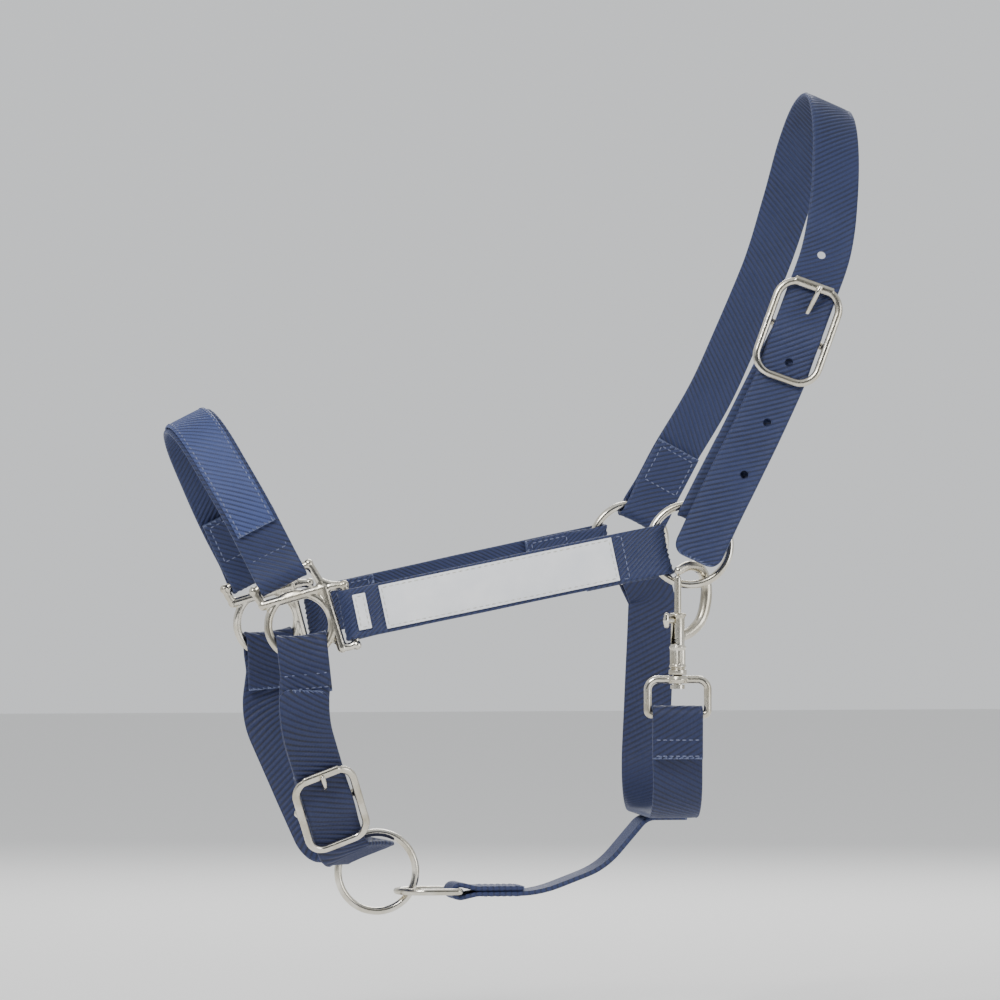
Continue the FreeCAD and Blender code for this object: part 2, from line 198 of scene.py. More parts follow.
def aligned(rows):
    out = [rows[0]]
    for p, w in rows[1:]:
        out.append((p, w if w.dot(out[-1][1]) > 0 else -w))
    return out


def splineRows(rows, step):
    # centripetal curve through the given stations
    pts = [p for p, w in rows]
    pts = [pts[0] * 2 - pts[1]] + pts + [pts[-1] * 2 - pts[-2]]
    rows = aligned(rows)
    out = []
    for i in range(len(rows) - 1):
        p0, p1, p2, p3 = pts[i:i + 4]
        t0 = 0.0
        t1 = t0 + max(1e-6, (p1 - p0).length) ** 0.5
        t2 = t1 + max(1e-6, (p2 - p1).length) ** 0.5
        t3 = t2 + max(1e-6, (p3 - p2).length) ** 0.5
        n = max(1, int(round((p2 - p1).length / step)))
        for k in range(n):
            t = toward(t1, t2, k / n)
            a1 = p0 * ((t1 - t) / (t1 - t0)) + p1 * ((t - t0) / (t1 - t0))
            a2 = p1 * ((t2 - t) / (t2 - t1)) + p2 * ((t - t1) / (t2 - t1))
            a3 = p2 * ((t3 - t) / (t3 - t2)) + p3 * ((t - t2) / (t3 - t2))
            b1 = a1 * ((t2 - t) / (t2 - t0)) + a2 * ((t - t0) / (t2 - t0))
            b2 = a2 * ((t3 - t) / (t3 - t1)) + a3 * ((t - t1) / (t3 - t1))
            place = b1 * ((t2 - t) / (t2 - t1)) + b2 * ((t - t1) / (t2 - t1))
            out.append((place, rows[i][1].lerp(rows[i + 1][1], k / n)))
    out.append(rows[-1])
    return out


noseW, noseS = sideDir(layout["noseTurn"]), sideDir(layout["noseTurn"] + 90)
cheekS = (ringC - squareC).normalized()
cheekW = cheekS.cross(sideN).normalized()
castTop = side(layout["square"][0] - 9.5, layout["square"][1] + 23.9)
castRear = squareC + cheekS * 25.5
chinS, chinW = sideDir(layout["chinDrop"] - 90), sideDir(layout["chinDrop"])
ringSag = ringDepth(wire["ring"], wire["ringWire"])

cheekCorners = back(flatLoop(ringC - cheekS * (wire["ring"] - ringSag), -cheekS, sideN, cheekW,
                             wire["ringWire"], ringSag, 11.0))
cheekCorners += flatLoop(castRear, cheekS, sideN, cheekW, wire["castWire"], 0.0, 10.0)

noseTilt = rad(layout["noseTilt"])
noseD = Vector((-math.sin(noseTilt), 0, math.cos(noseTilt)))
noseMidW = Vector((math.cos(noseTilt), 0, math.sin(noseTilt)))
noseBase = Vector((castTop.x, 0, castTop.z))


def nose(y, q):
    return noseBase + Vector((0, y, 0)) + noseD * q


noseLoop = loop(castTop, noseS, sideN, noseW, wire["castWire"])
nearArch = [(nose(-50.5, 40), 60, noseMidW), (nose(-28, layout["noseRise"] - 32), 36, noseMidW)]
arch = nearArch + [(nose(0, layout["noseRise"] - 25), 50, noseMidW)]
arch += [(mirrored(p), r, w) for p, r, w in back(nearArch)]
noseCorners = back(noseLoop) + arch + acrossAll(noseLoop)
facingCorners = [noseLoop[0]] + arch + [acrossAll(noseLoop)[0]]

buckleC = side(*layout["buckle"])
billetS = (buckleC - ringC).normalized()
billetW = billetS.cross(sideN).normalized()
frameS = sideDir(90 - layout["frameTurn"])
frameW = frameS.cross(sideN).normalized()
crownRing = ringLoop(ringC, billetS, sideN, billetW, wire["ring"], wire["ringWire"])
billetCorners = back(crownRing) + loop(buckleC, -billetS, sideN, billetW, wire["heel"])

tailW = sideDir(-26.0)
topW = Vector((math.cos(rad(23.0)), 0, -math.sin(rad(23.0))))
ride = web["ride"]
stack = [(-22, ride), (-13, ride), (-9, 4.9), (-5, 6.1), (0, web["crest"]), (5, 6.1), (9, 4.9), (13, ride),
         (22, ride)]
tailPlaces = ((1.7, -8.6, 6.4), (9.5, 8.0, 6.4), (15.2, 19.8, 6.4), (19.6, 28.6, 6.2), (26.5, 42.5, 4.6),
              (34.5, 58.5, ride))
crownStations = [(side(*place), tailW) for place in tailPlaces]
crownStations += [(buckleC + frameS * t + sideN * n, frameW) for t, n in stack]
crownStations += [(Vector((-14.4, -68.2, -76.0)), frameW), (Vector((-8.2, -58.5, -49.0)), topW),
                  (Vector((-3.6, -42.0, -20.5)), topW), (Vector((-1.0, -21.0, -3.6)), topW),
                  (Vector((0, 0, 1.2)), topW), (Vector((-1.0, 21.0, -3.6)), topW),
                  (Vector((-3.6, 42.0, -20.5)), topW), (Vector((-8.2, 58.5, -49.0)), topW),
                  (Vector((-16.5, 68.2, -80.0)), mirrored(frameW)),
                  (mirrored(side(54.1, 105.7, ply)), mirrored(frameW)),
                  (mirrored(side(42.0, 78.0, ply)), mirrored(tailW)),
                  (mirrored(ringC + billetS * 50 + sideN * ply), mirrored(billetW)),
                  (mirrored(ringC + billetS * 38 + sideN * ply), mirrored(billetW))]
crownEnd = filletPath([(mirrored(ringC + billetS * 38 + sideN * ply), 0, mirrored(billetW))]
                      + acrossAll(crownRing))
crownRows = aligned(splineRows(crownStations, 2.0) + crownEnd[1:])

chinTilt, chinLean = rad(layout["chinTilt"]), rad(layout["chinLean"])
chinD = Vector((-math.sin(chinTilt), 0, math.cos(chinTilt)))
chinMidW = Vector((math.cos(chinTilt), 0, math.sin(chinTilt)))
chinRide = math.sqrt((wire["chinRing"] - wire["chinWire"] - wire["room"]) ** 2 - half ** 2)
chinRide -= web["thick"] / 2
chinBase = Vector(layout["chinRing"]) + chinD * chinRide


def chin(y, q):
    return chinBase + Vector((0, y, 0)) + chinD * q


chinUp = Vector((0, -math.sin(chinLean), 0)) + chinD * math.cos(chinLean)
chinOut = Vector((0, -math.cos(chinLean), 0)) - chinD * math.sin(chinLean)
chinBuckleC = chin(-41, 28) - Vector((layout["chinBow"], 0, 0))
elbow = chinBuckleC + chinUp * 49.5


def elbowAt(lift):
    return elbow + (sideN + chinOut) * (lift / (1 + sideN.dot(chinOut)))


chinSquare = ringLoop(squareC, chinS, sideN, chinW, wire["cast"], wire["castWire"], 9.0, 9.0)
chinHeel = loop(chinBuckleC, chinUp, chinOut, chinMidW, wire["heel"], 0.0, 11.0, 9.0)
chinBilletCorners = back(chinSquare) + [(elbowAt(ply), 30, chinMidW)] + chinHeel
tailCorners = [(elbow + (squareC + chinS * 25 - elbow).normalized() * 15 + sideN * ride, 0,
                chinMidW * 0.7 + chinW * 0.3),
               (elbowAt(ride), 32, chinMidW), (chinBuckleC + chinUp * 22 + chinOut * ride, 0, chinMidW)]
chinStack = [(chinBuckleC + chinUp * t + chinOut * n, chinMidW) for t, n in reversed(stack)]
bowC = chinBuckleC - chinUp * 29 + chinOut * ride
under = [(chinBuckleC - chinUp * 22 + chinOut * ride, 0, chinMidW), (bowC, 12, chinMidW),
         (chin(-9.5, 0), 16, chinMidW), (chin(9.5, 0), 16, chinMidW), (mirrored(bowC), 18, chinMidW),
         (mirrored(elbowAt(ply)), 30, chinMidW)]
chinRows = aligned(filletPath(tailCorners)[:-1] + splineRows(chinStack, 2.0)
                   + filletPath(under + acrossAll(chinSquare))[1:])

across = Vector((0, 1, 0))
sewZ = layout["throatZ"] - web["thick"] - 0.3
linkBar = Vector((-190.6, 0, -397.6))
tailward, downward = Vector((1, 0, 0)), Vector((0, 0, -1))
linkLoop = loop(linkBar, tailward, downward, across, wire["link"], 0.0, 9.0)
connectorCorners = back(linkLoop) + [(Vector((-150, 0, linkBar.z - ply)), 60, across),
                                     (Vector((-116, 0, -386.0)), 40, across),
                                     (Vector((-94.5, 0, sewZ)), 9, across),
                                     (Vector((-74, 0, sewZ)), 0, across)]

snapTurn = rad(38.0)
wireH = -6.4 + 8.1 * math.cos(snapTurn)
snapP = Matrix.Rotation(snapTurn, 3, "Z") @ sideH
snapAxis = side(wireH, -math.sqrt(400 - wireH ** 2)) - snapP * 8.1
eyeBar = snapAxis + Vector((0, 0, -64.5))
level = Vector((sideN.x, sideN.y, 0)).normalized()
nearThroat = loop(eyeBar, downward, -level, sideH, wire["eye"], 0.0, 10.0, 12.0)
throatS, throatW = sideDir(layout["throatTurn"]), sideDir(layout["throatTurn"] + 90)
farRing = ringLoop(ringC, throatS, -sideN, throatW, wire["ring"], wire["ringWire"], 11.0, 12.0)
throatMid = [(Vector((-91, -74, layout["throatZ"])), 28, tailward),
             (Vector((-80, 74, layout["throatZ"])), 40, tailward)]
throatRows = aligned(filletPath(back(nearThroat) + throatMid + acrossAll(farRing)))
print("routes laid out")

# 25 mm nylon webbing: diagonal ribs about 3 mm apart, a plain rounded selvedge
weave = {"pitch": 3.0, "rowsPerRib": 6, "relief": 0.34, "selvedge": 1.8}


def sampled(rows, step=0.5):
    # even stations along the route, each with its place, direction, width and normal
    clean = [rows[0]]
    for p, w in rows[1:]:
        if (p - clean[-1][0]).length > 0.02:
            clean.append((p, w))
    lengths = [0.0]
    for (p, w), (q, w) in zip(clean, clean[1:]):
        lengths.append(lengths[-1] + (q - p).length)
    total = lengths[-1]
    count = int(total / step)
    places, k = [], 0
    for i in range(count + 1):
        s = total * i / count
        while k < len(clean) - 2 and lengths[k + 1] < s:
            k += 1
        t = (s - lengths[k]) / (lengths[k + 1] - lengths[k])
        places.append((clean[k][0].lerp(clean[k + 1][0], t), clean[k][1].lerp(clean[k + 1][1], t)))
    out = []
    for i, (p, w) in enumerate(places):
        along = (places[min(i + 2, count)][0] - places[max(i - 2, 0)][0]).normalized()
        normal = along.cross(w).normalized()
        out.append((p, along, normal.cross(along).normalized(), normal))
    return out, total


def stationAt(samples, total, s):
    f = max(0.0, min(1.0, s / total)) * (len(samples) - 1)
    i = min(int(f), len(samples) - 2)
    t = f - i
    a, b = samples[i], samples[i + 1]
    return a[0].lerp(b[0], t), a[1].lerp(b[1], t), a[2].lerp(b[2], t), a[3].lerp(b[3], t)


def sectionPoints(width, thick):
    # (share of half width in mm, height, share of the rib relief), once round the section
    w, t = width / 2, thick / 2
    edge = [(0.0, 0.0, 0), (0.22, 0.62, 0), (0.75, 0.97, 0), (weave["selvedge"], 0.88, 0.3)]
    top = [(-w + d, t * h, r) for d, h, r in edge]
    inner = 8
    for k in range(1, inner):
        top.append((toward(-w + weave["selvedge"], w - weave["selvedge"], k / inner), t, 1))
    top += [(w - d, t * h, r) for d, h, r in reversed(edge)]
    return top + [(y, -z, r) for y, z, r in reversed(top[1:-1])]


def webbing(name, rows, slope, width=web["width"], thick=web["thick"], lift=0.0, tips=(0, 0), hugs=(),
            relief=weave["relief"], wave=0.25):
    samples, total = sampled(rows)
    if samples[len(samples) // 2][3].dot(samples[len(samples) // 2][0] - Vector((-150, 0, -220))) < 0:
        lift = -lift
    section = sectionPoints(width, thick)
    step = weave["pitch"] / weave["rowsPerRib"]
    skew = abs(slope) * width / 2 + step
    count = int(math.ceil((total + 2 * skew) / step))
    phase = random.random() * 6
    verts, uvs = [], []
    for k in range(count + 1):
        base = -skew + k * step
        crest = (0.0, 0.62, 0.95, 1.0, 0.9, 0.5)[k % weave["rowsPerRib"]]
        for y, z, r in section:
            s = max(0.0, min(total, base + y * slope))
            p, along, w, n = stationAt(samples, total, s)
            ends = 1.0
            for tip, gap in ((tips[0], s), (tips[1], total - s)):
                if tip and gap < tip:
                    ends = min(ends, 0.55 + 0.45 * math.sqrt(max(0.0, 1 - (1 - gap / tip) ** 2)))
            drift = wave * math.sin(s * 0.041 + phase) + 0.4 * wave * math.sin(s * 0.13 + 2 * phase)
            height = z - math.copysign(relief * (1 - crest) * r, z) if z else 0.0
            height += lift + 0.18 * wave * math.sin(s * 0.09 + phase) * (1 - (2 * y / width) ** 2)
            at = p + w * (y * ends + drift * 0.4) + n * height
            for centre, hugS, hugW, r0 in hugs:
                rel = at - centre
                out, sideways = rel.dot(hugS), rel.dot(hugW)
                if 0 < out < r0 + 26 and abs(sideways) <= half + 1 and abs(rel.dot(hugS.cross(hugW))) < 8:
                    arc = math.sqrt(r0 * r0 - min(abs(sideways), half) ** 2)
                    arc -= math.sqrt(r0 * r0 - half * half)
                    at = at + hugS * (0.22 * arc * smooth((r0 + 26 - out) / 26))
            verts.append(at * mm)
            uvs.append((s * mm, y * mm))
    ring = len(section)
    faces = []
    for k in range(count):
        for j in range(ring):
            a, b = k * ring + j, k * ring + (j + 1) % ring
            faces.append((a, b, b + ring, a + ring))
    faces.append(tuple(reversed(range(ring))))
    faces.append(tuple(range(count * ring, (count + 1) * ring)))
    mesh = bpy.data.meshes.new(name)
    mesh.from_pydata(verts, [], faces)
    layer = mesh.uv_layers.new(name="weaveMap")
    for item in mesh.loops:
        layer.data[item.index].uv = uvs[item.vertex_index]
    piece = bpy.data.objects.new(name, mesh)
    bpy.context.scene.collection.objects.link(piece)
    bpy.ops.object.select_all(action="DESELECT")
    bpy.context.view_layer.objects.active = piece
    piece.select_set(True)
    bpy.ops.object.mode_set(mode="EDIT")
    bpy.ops.mesh.select_all(action="SELECT")
    bpy.ops.mesh.remove_doubles(threshold=0.00003)
    bpy.ops.mesh.normals_make_consistent(inside=False)
    bpy.ops.object.mode_set(mode="OBJECT")
    bpy.ops.object.shade_smooth_by_angle(angle=rad(50))
    layer = mesh.uv_layers["weaveMap"]
    piece.select_set(False)
    for face in mesh.polygons:
        run = sum(layer.data[i].uv[0] for i in face.loop_indices) / len(face.loop_indices)
        if min(run, total * mm - run) < 0.8 * mm:
            face.material_index = 1
    return piece, samples, total


def punch(piece, places, radius):
    # real holes through the webbing
    for p, n in places:
        bpy.ops.mesh.primitive_cylinder_add(vertices=24, radius=radius * mm, depth=24 * mm,
                                            location=(p - n * 2) * mm)
        cutter = bpy.context.object
        cutter.rotation_euler = n.to_track_quat("Z", "Y").to_euler()
        cut = piece.modifiers.new("hole", "BOOLEAN")
        cut.operation, cut.object, cut.solver = "DIFFERENCE", cutter, "EXACT"
        bpy.context.view_layer.objects.active = piece
        bpy.ops.object.select_all(action="DESELECT")
        piece.select_set(True)
        bpy.ops.object.modifier_apply(modifier="hole")
        bpy.data.objects.remove(cutter)


hugRing = [(ringC, -cheekS, cheekW, wire["ring"])]
hugBillet = [(ringC, billetS, billetW, wire["ring"])]
hugFar = [(mirrored(ringC), mirrored(billetS), mirrored(billetW), wire["ring"])]
hugThroat = [(mirrored(ringC), mirrored(throatS), mirrored(throatW), wire["ring"])]
hugChin = [(squareC, chinS, chinW, wire["cast"])]
straps = {}
straps["noseband"] = webbing("nosebandWebbing", filletPath(noseCorners), -0.9)
straps["left_cheek_strap"] = webbing("leftCheekStrap", filletPath(cheekCorners), 1.4, hugs=hugRing)
straps["crown_billet"] = webbing("crownBillet", filletPath(billetCorners), 0.6, hugs=hugBillet)
straps["crown_strap"] = webbing("crownStrap", crownRows, 0.8, tips=(7, 0), hugs=hugFar)
straps["chin_billet"] = webbing("chinBillet", filletPath(chinBilletCorners), 0.5, hugs=hugChin)
straps["chin_strap"] = webbing("chinStrap", chinRows, 0.5, tips=(5, 0),
                               hugs=[(mirrored(c), mirrored(s), mirrored(w), r) for c, s, w, r in hugChin])
straps["connector_strap"] = webbing("connectorStrap", filletPath(connectorCorners), 0.6)
straps["throat_strap"] = webbing("throatStrap", throatRows, 0.6, hugs=hugThroat)
straps["right_cheek_strap"] = webbing("rightCheekStrap",
                                      [(mirrored(p), mirrored(w)) for p, w in filletPath(cheekCorners)], -1.4,
                                      hugs=[(mirrored(c), mirrored(s), mirrored(w), r)
                                            for c, s, w, r in hugRing])
facing = webbing("nosebandFacing", filletPath(facingCorners)[1:-1], -0.9, width=21.0, thick=1.5, lift=2.2,
                 relief=0.16)
holePlaces = [(side(h, v), sideN) for h, v in ((27.0, 34.3), (38.7, 60.6), (49.8, 90.8), (67.0, 146.0))]
punch(straps["crown_strap"][0], holePlaces, 2.1)
print("webbing woven")

def weaveMaterial(name, valley, crest, slope, pitch, bump):
    # woven nylon: dyed yarn with a soft sheen; the base colour is painted lighter along the raised diagonal
    # ribs (painted highlight) and darker in the valleys between them (painted shade)
    material, shader = newMaterial(name)
    uv = addNode(material, "ShaderNodeUVMap", uv_map="weaveMap")
    split = addNode(material, "ShaderNodeSeparateXYZ", links={0: uv.outputs["UV"]})
    lean = addNode(material, "ShaderNodeMath", {1: slope}, {0: split.outputs["Y"]}, operation="MULTIPLY")
    run = addNode(material, "ShaderNodeMath", links={0: split.outputs["X"], 1: lean.outputs[0]},
                  operation="SUBTRACT")
    rib = addNode(material, "ShaderNodeMath", {1: 2 * math.pi / (pitch * mm)}, {0: run.outputs[0]},
                  operation="MULTIPLY")
    wave = addNode(material, "ShaderNodeMath", links={0: rib.outputs[0]}, operation="SINE")
    # single yarns, 0.7 mm apart, cross each rib
    yarn = addNode(material, "ShaderNodeMath", {1: 2 * math.pi / (0.7 * mm)}, {0: split.outputs["Y"]},
                   operation="MULTIPLY")
    yarnWave = addNode(material, "ShaderNodeMath", links={0: yarn.outputs[0]}, operation="SINE")
    mix = addNode(material, "ShaderNodeMath", {1: 0.35}, {0: yarnWave.outputs[0], 2: wave.outputs[0]},
                  operation="MULTIPLY_ADD")
    position = addNode(material, "ShaderNodeTexCoord")
    blotch = addNode(material, "ShaderNodeTexNoise", {"Scale": 45.0, "Detail": 3.0},
                     {"Vector": position.outputs["Object"]})
    fibre = addNode(material, "ShaderNodeTexNoise", {"Scale": 1400.0, "Detail": 2.0},
                    {"Vector": position.outputs["Object"]})
    level = addNode(material, "ShaderNodeMapRange", {"From Min": -1.35, "From Max": 1.35},
                    {"Value": mix.outputs[0]})
    tone = addNode(material, "ShaderNodeMath", {1: 0.45}, {0: blotch.outputs["Fac"], 2: level.outputs[0]},
                   operation="MULTIPLY_ADD")
    fuzz = addNode(material, "ShaderNodeMath", {1: 0.3}, {0: fibre.outputs["Fac"], 2: tone.outputs[0]},
                   operation="MULTIPLY_ADD")
    # base colour: painted shade in the rib valleys and a painted highlight on the rib crests, with random
    # blotches and fibre fuzz
    join(material, colorRamp(material, fuzz.outputs[0], [(0.3, valley), (0.85, crest)]),
         shader.inputs["Base Color"])
    join(material, colorRamp(material, fibre.outputs["Fac"], [(0.3, 0.5), (0.7, 0.75)]),
         shader.inputs["Roughness"])
    raised = addNode(material, "ShaderNodeMath", {1: 0.5}, {0: fibre.outputs["Fac"], 2: mix.outputs[0]},
                     operation="MULTIPLY_ADD")
    shape = addNode(material, "ShaderNodeBump", {"Strength": bump, "Distance": 0.12 * mm},
                    {"Height": raised.outputs[0]})
    join(material, shape.outputs["Normal"], shader.inputs["Normal"])
    shader.inputs["Sheen Weight"].default_value = 0.25
    shader.inputs["Sheen Roughness"].default_value = 0.4
    shader.inputs["Sheen Tint"].default_value = hexColor("#8f9abb")
    shader.inputs["IOR"].default_value = 1.53
    return material


def platedMaterial(name, bright, dull, rough, grain):
    # nickel plate over a casting or wire: warm grey metal, softly polished, duller where handled
    material, shader = newMaterial(name)
    position = addNode(material, "ShaderNodeTexCoord")
    cloud = addNode(material, "ShaderNodeTexNoise", {"Scale": 90.0, "Detail": 4.0},
                    {"Vector": position.outputs["Object"]})
    pits = addNode(material, "ShaderNodeTexNoise", {"Scale": grain, "Detail": 3.0},
                   {"Vector": position.outputs["Object"]})
    join(material, colorRamp(material, cloud.outputs["Fac"], [(0.35, bright), (0.72, dull)]),
         shader.inputs["Base Color"])
    join(material, colorRamp(material, cloud.outputs["Fac"], [(0.3, rough), (0.75, rough + 0.2)]),
         shader.inputs["Roughness"])
    shape = addNode(material, "ShaderNodeBump", {"Strength": 0.35, "Distance": 0.06 * mm},
                    {"Height": pits.outputs["Fac"]})
    join(material, shape.outputs["Normal"], shader.inputs["Normal"])
    shader.inputs["Metallic"].default_value = 1.0
    return material


def panelMaterial():
    # coated vinyl patch, satin white, a little grubby
    material, shader = newMaterial("whiteCoatedVinyl")
    position = addNode(material, "ShaderNodeTexCoord")
    smudge = addNode(material, "ShaderNodeTexNoise", {"Scale": 60.0, "Detail": 5.0},
                     {"Vector": position.outputs["Object"]})
    grit = addNode(material, "ShaderNodeTexNoise", {"Scale": 1800.0, "Detail": 2.0},
                   {"Vector": position.outputs["Object"]})
    join(material, colorRamp(material, smudge.outputs["Fac"], [(0.3, "#f4f5f7"), (0.75, "#e2e5ea")]),
         shader.inputs["Base Color"])
    join(material, colorRamp(material, smudge.outputs["Fac"], [(0.3, 0.38), (0.7, 0.52)]),
         shader.inputs["Roughness"])
    shape = addNode(material, "ShaderNodeBump", {"Strength": 0.25, "Distance": 0.05 * mm},
                    {"Height": grit.outputs["Fac"]})
    join(material, shape.outputs["Normal"], shader.inputs["Normal"])
    return material


def threadMaterial(name, light, dark):
    # bonded polyester thread, two tones where it twists
    material, shader = newMaterial(name)
    position = addNode(material, "ShaderNodeTexCoord")
    twist = addNode(material, "ShaderNodeTexNoise", {"Scale": 2600.0, "Detail": 1.0},
                    {"Vector": position.outputs["Object"]})
    join(material, colorRamp(material, twist.outputs["Fac"], [(0.35, dark), (0.65, light)]),
         shader.inputs["Base Color"])
    shader.inputs["Roughness"].default_value = 0.5
    return material


castNickel = platedMaterial("nickelPlatedCasting", "#e2ddd0", "#b9b19c", 0.17, 700.0)
wireNickel = platedMaterial("nickelPlatedWire", "#e8e4d9", "#c4bca8", 0.12, 1200.0)
springWire = platedMaterial("springSteel", "#9a9a9c", "#6b6b6e", 0.3, 1500.0)
whiteVinyl = panelMaterial()
whiteThread = threadMaterial("whiteThread", "#e6e6e2", "#b9b9b4")
navyThread = threadMaterial("navyThread", "#8088a6", "#4a5274")
cutEnd = threadMaterial("heatCutNylonEnd", "#6a7494", "#3b4468")
slopes = {"noseband": -0.9, "left_cheek_strap": 1.4, "right_cheek_strap": -1.4, "crown_strap": 0.8,
          "chin_billet": 0.5, "chin_strap": 0.5}
weaves = {}
# painted shade: the throat strap, chin strap and chin billet get a darker copy of the same navy weave
shadedStraps = ("throat_strap", "chin_strap", "chin_billet")
for key, (piece, samples, total) in straps.items():
    slope = slopes.get(key, 0.6)
    # the darker pair is painted shade for the lower straps; the other pair is the navy colour of the rest
    dyeAndShade = ("#04060f", "#1c274f") if key in shadedStraps else ("#050919", "#25315a")
    if (slope, dyeAndShade) not in weaves:
        weaves[slope, dyeAndShade] = weaveMaterial("navyNylonTwill%d" % len(weaves), *dyeAndShade, slope,
                                           weave["pitch"], 0.7)
    piece.data.materials.append(weaves[slope, dyeAndShade])
    piece.data.materials.append(cutEnd)
facing[0].data.materials.append(weaveMaterial("navyFacingWeave", "#0d1433", "#3c4b7e", -0.9,
                                              weave["pitch"], 0.5))
facing[0].data.materials.append(cutEnd)
print("materials mixed")

# each patch: how far it lies from the ring along the cheek strap, then length, width and thickness
patchSizes = {"panel": (97.0, (118.0, 22.0, 0.9)), "tab": (166.5, (6.5, 18.0, 0.9))}


def patch(name, mid, axes, size, lift):
    # a thin sewn patch with softened edges
    bpy.ops.object.select_all(action="DESELECT")
    bpy.ops.mesh.primitive_cube_add(size=1)
    piece = bpy.context.object
    piece.name = name
    length, width, thick = size
    piece.scale = (length * mm, width * mm, thick * mm)
    bpy.ops.object.transform_apply(location=False, rotation=False, scale=True)
    soft = piece.modifiers.new("corner", "BEVEL")
    soft.width, soft.segments, soft.limit_method = 0.3 * mm, 3, "ANGLE"
    bpy.ops.object.modifier_apply(modifier="corner")
    ax, ay, az = axes
    place = Matrix((ax, ay, az)).transposed().to_4x4()
    place.translation = (mid + az * (lift + thick / 2)) * mm
    piece.data.transform(place)
    bpy.ops.object.shade_smooth_by_angle(angle=rad(35))
    piece.data.materials.append(whiteVinyl)
    return piece


faceLift = wire["ringWire"] + web["clear"] + web["thick"] + 0.1
cheekUp = sideN.cross(cheekS).normalized()
patches = []
for flip, word in ((False, "left"), (True, "right")):
    for kind, (along, size) in patchSizes.items():
        mid = ringC - cheekS * along
        axes = (cheekS, cheekUp, sideN)
        if flip:
            mid, axes = mirrored(mid), tuple(mirrored(a) for a in (cheekS, -cheekUp, sideN))
        piece = patch(word + kind.capitalize(), mid, axes, size, faceLift)
        patches.append((piece, word + "_cheek_" + kind))
print("patches sewn")

def tube(points, radii, closed=False, flat=None):
    # a round bar through the points; radii is one value or one for each point
    curve = bpy.data.curves.new("bar", "CURVE")
    curve.dimensions, curve.bevel_depth, curve.bevel_resolution, curve.use_fill_caps = "3D", mm, 4, True
    line = curve.splines.new("POLY")
    line.points.add(len(points) - 1)
    line.use_cyclic_u = closed
    for i, (spot, at) in enumerate(zip(line.points, points)):
        spot.co = (*(at * mm), 1)
        spot.radius = radii if isinstance(radii, float) else radii[i]
    bar = bpy.data.objects.new("bar", curve)
    bpy.context.scene.collection.objects.link(bar)
    bpy.ops.object.select_all(action="DESELECT")
    bpy.context.view_layer.objects.active = bar
    bar.select_set(True)
    bpy.ops.object.convert(target="MESH")
    bar = bpy.context.object
    if flat:
        centre, normal, share = flat
        bar.data.transform(Matrix.Translation(centre * mm) @ Matrix.Scale(share, 4, normal)
                           @ Matrix.Translation(-centre * mm))
    return bar


def knob(at, radius):
    bpy.ops.mesh.primitive_uv_sphere_add(segments=20, ring_count=12, radius=radius * mm, location=at * mm)
    return bpy.context.object


def drum(low, high, radius):
    bpy.ops.mesh.primitive_cylinder_add(vertices=40, radius=radius * mm, depth=(high - low).length * mm,
                                        location=(low + high) / 2 * mm)
    body = bpy.context.object
    body.rotation_euler = (high - low).to_track_quat("Z", "Y").to_euler()
    return body


def hoop(centre, normal, major, minor, stretch=1.0):
    bpy.ops.mesh.primitive_torus_add(major_segments=96, minor_segments=20, major_radius=major * mm,
                                     minor_radius=minor * mm, location=centre * mm)
    ring = bpy.context.object
    ring.rotation_euler = normal.to_track_quat("Z", "Y").to_euler()
    ring.scale = (1, 1, stretch)
    return ring


def gusset(outline, normal, thick):
    # a thin web of metal filling an outline
    up, count = normal * (thick / 2), len(outline)
    mesh = bpy.data.meshes.new("gusset")
    faces = [tuple(range(count)), tuple(reversed(range(count, 2 * count)))]
    faces += [((i + 1) % count, i, i + count, (i + 1) % count + count) for i in range(count)]
    mesh.from_pydata([(p + up) * mm for p in outline] + [(p - up) * mm for p in outline], [], faces)
    piece = bpy.data.objects.new("gusset", mesh)
    bpy.context.scene.collection.objects.link(piece)
    return piece


def merge(name, pieces, voxel=0.4, passes=3, cuts=()):
    # cast in one: the pieces are joined, run together and smoothed like metal that has flowed
    bpy.ops.object.select_all(action="DESELECT")
    for piece in pieces:
        piece.select_set(True)
    bpy.context.view_layer.objects.active = pieces[0]
    bpy.ops.object.join()
    body = bpy.context.object
    body.name = name
    bpy.ops.object.transform_apply(location=True, rotation=True, scale=True)
    bpy.ops.object.mode_set(mode="EDIT")
    bpy.ops.mesh.select_all(action="SELECT")
    bpy.ops.mesh.normals_make_consistent(inside=False)
    bpy.ops.object.mode_set(mode="OBJECT")
    flow = body.modifiers.new("flow", "REMESH")
    flow.mode, flow.voxel_size, flow.adaptivity = "VOXEL", voxel * mm, 0
    bpy.ops.object.modifier_apply(modifier="flow")
    for cutter in cuts:
        cut = body.modifiers.new("bore", "BOOLEAN")
        cut.operation, cut.object, cut.solver = "DIFFERENCE", cutter, "EXACT"
        bpy.ops.object.modifier_apply(modifier="bore")
        bpy.data.objects.remove(cutter)
    soft = body.modifiers.new("soft", "SMOOTH")
    soft.factor, soft.iterations = 0.5, passes
    bpy.ops.object.modifier_apply(modifier="soft")
    bpy.ops.object.shade_smooth()
    return body


def rounded(corners, radius, closed=True):
    # points along straight runs with turned corners
    if not closed:
        return [p for p, w in filletPath([(p, radius, 0) for p in corners])]
    start = (corners[0] + corners[-1]) / 2
    loopPoints = [(start, 0, 0)] + [(p, radius, 0) for p in corners] + [(start, 0, 0)]
    return [p for p, w in filletPath(loopPoints)][:-1]


def eased(points, count):
    # a smooth bar through a few given points
    rows = splineRows([(p, Vector((0, 0, 1))) for p in points], (points[-1] - points[0]).length / count)
    return [p for p, w in rows]


square = {"inner": ((-18.4, 9.8), (11.6, 18.6), (20.7, -11.2)), "bar": 2.1, "innerBar": 2.5, "web": 1.9,
          "horn": 2.35, "rearBar": 2.0, "slack": 2.9}


def cast(h, v):
    return side(layout["square"][0] + h, layout["square"][1] + v)


